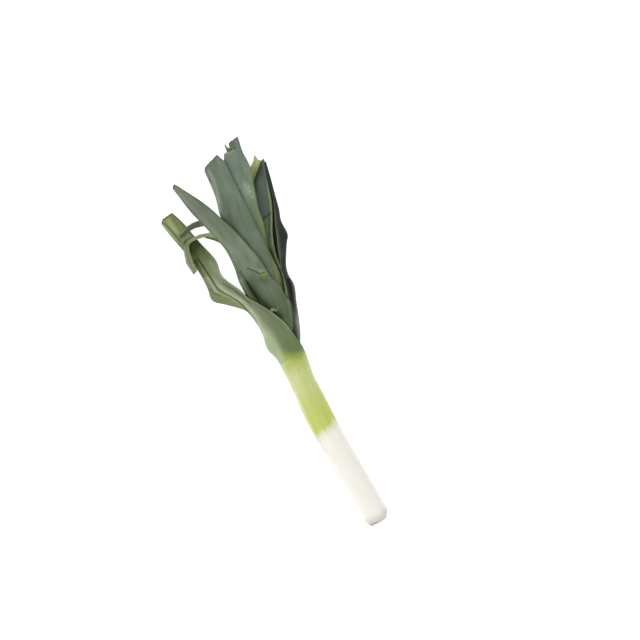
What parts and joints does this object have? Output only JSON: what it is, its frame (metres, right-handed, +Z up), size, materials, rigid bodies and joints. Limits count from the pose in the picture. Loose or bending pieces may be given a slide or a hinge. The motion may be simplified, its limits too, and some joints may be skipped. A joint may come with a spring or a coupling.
{
  "type": "leek",
  "caption": "Trimmed leek lying on its side: white rolled shaft with a cut root plate, and folded green leaf blades fanning out in two ranks.",
  "frame": {"origin": "middle of the leek's box, on the surface that it lies on", "axes": "+Z up, away from the surface; +Y along the shaft from the root plate towards the leaf tips; +X towards the right rank of leaves"},
  "size_m": [0.1344, 0.4484, 0.0291],
  "materials": {
    "root_plate": "matte",
    "shaft": "satin",
    "pale_leaf": "satin",
    "dark_leaf": "satin",
    "grey_green_leaf": "satin",
    "blue_green_leaf": "satin"
  },
  "bodies": {
    "root": {"root_plate": "root_plate", "shaft": "shaft", "leaf_outer_left": "pale_leaf", "leaf_outer_right": "dark_leaf", "leaf_pointed_left": "grey_green_leaf", "leaf_grey_right": "grey_green_leaf", "leaf_wide_left": "blue_green_leaf", "leaf_wide_right": "blue_green_leaf"}
  },
  "joints": []
}
